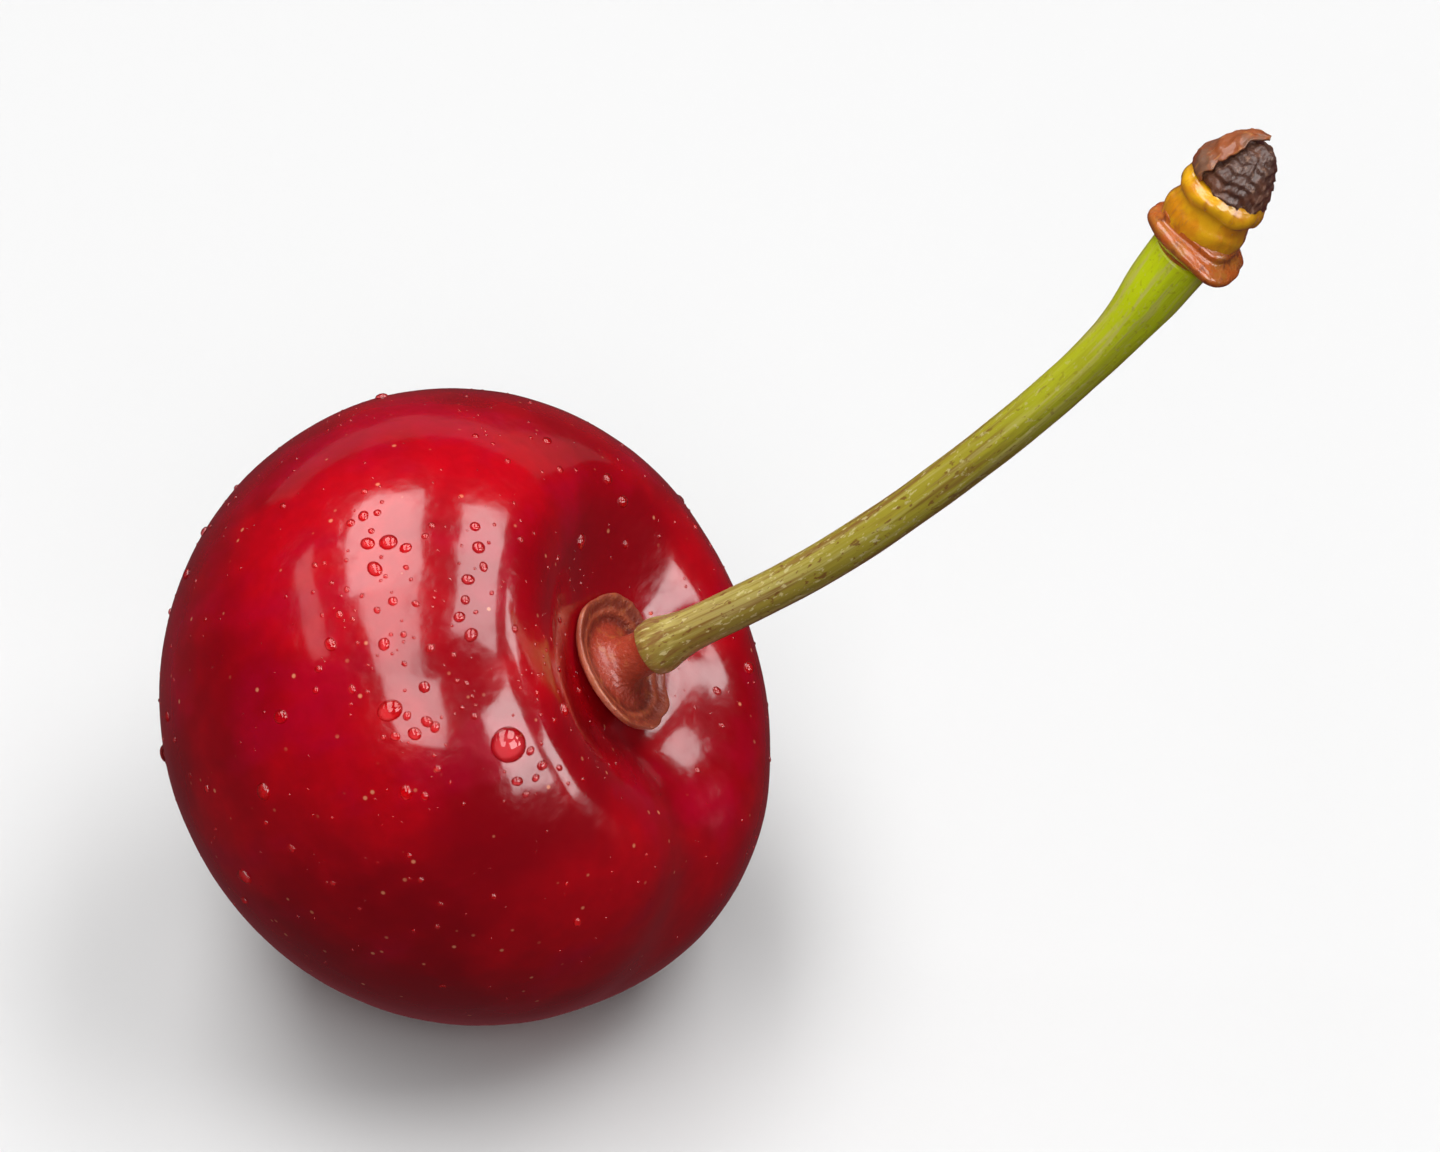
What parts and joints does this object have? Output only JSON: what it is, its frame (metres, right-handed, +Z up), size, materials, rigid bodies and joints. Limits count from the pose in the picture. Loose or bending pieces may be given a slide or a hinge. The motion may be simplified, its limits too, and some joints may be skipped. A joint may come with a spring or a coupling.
{
  "type": "cherry on stalk",
  "caption": "Round ripe sweet cherry with a stalk cavity and suture, on a long curved green stalk that ends in a ringed woody knob; it lies on its cheek.",
  "frame": {"origin": "on the resting surface, in the small flat where the fruit rests", "axes": "+Z up, +X along the side that the stalk leans to, +Y to the back, away from the stalk cavity's open side"},
  "size_m": [0.0483, 0.0283, 0.0486],
  "materials": {
    "red_skin": "glossy wet skin",
    "collar_tan": "satin, reddish tan",
    "stalk_green": "satin, finely streaked green",
    "ring_rust": "satin, rust brown",
    "knob_amber": "satin, amber yellow",
    "cork_brown": "rough, dry cork",
    "scale_copper": "dry, copper brown",
    "clear_water": "clear water drops on the skin"
  },
  "bodies": {
    "root": {"fruit": "red_skin", "receptacle_collar": "collar_tan", "stalk": "stalk_green", "abscission_ring": "ring_rust", "spur_knob": "knob_amber", "corky_cap": "cork_brown", "bud_scale": "scale_copper"}
  },
  "joints": []
}
